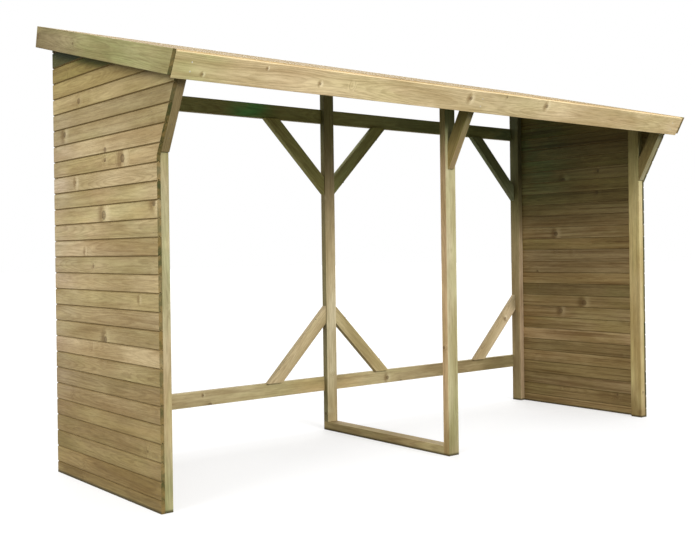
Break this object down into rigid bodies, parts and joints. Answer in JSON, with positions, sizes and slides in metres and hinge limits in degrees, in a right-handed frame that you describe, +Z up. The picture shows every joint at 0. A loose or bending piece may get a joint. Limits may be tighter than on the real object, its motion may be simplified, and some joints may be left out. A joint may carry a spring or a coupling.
{
  "type": "log store",
  "caption": "Free-standing timber log store: boarded end walls, open middle frame and braced open back under a lean-to boarded roof.",
  "frame": {"origin": "on the ground, under the middle of the roof", "axes": "+X along the store towards the right-hand end wall as seen from the front, +Y from the open front to the rear, +Z up"},
  "size_m": [4.166, 1.5684, 2.5585],
  "materials": {
    "frame": "sawn pressure-treated softwood",
    "boards": "planed pressure-treated softwood boards",
    "roof_boards": "planed pressure-treated softwood boards",
    "trim": "planed pressure-treated softwood",
    "fixings": "dull galvanised steel nails and screws"
  },
  "bodies": {
    "root": {"left_front_post": "frame", "left_rear_post": "frame", "left_rafter": "frame", "left_front_brace": "frame", "left_wall": "boards", "right_front_post": "frame", "right_rear_post": "frame", "right_rafter": "frame", "right_front_brace": "frame", "right_wall": "boards", "middle_front_post": "frame", "middle_rear_post": "frame", "middle_sill": "frame", "middle_rafter": "frame", "middle_front_brace": "frame", "lower_rear_rail": "frame", "upper_rear_rail": "frame", "left_upper_diagonal": "frame", "left_lower_diagonal": "frame", "middle_left_upper_diagonal": "frame", "middle_left_lower_diagonal": "frame", "middle_right_upper_diagonal": "frame", "middle_right_lower_diagonal": "frame", "right_upper_diagonal": "frame", "right_lower_diagonal": "frame", "roof_deck": "roof_boards", "left_barge_bearer": "frame", "left_barge_board": "trim", "right_barge_bearer": "frame", "right_barge_board": "trim", "front_fascia": "trim", "rear_fascia": "trim"}
  },
  "joints": []
}
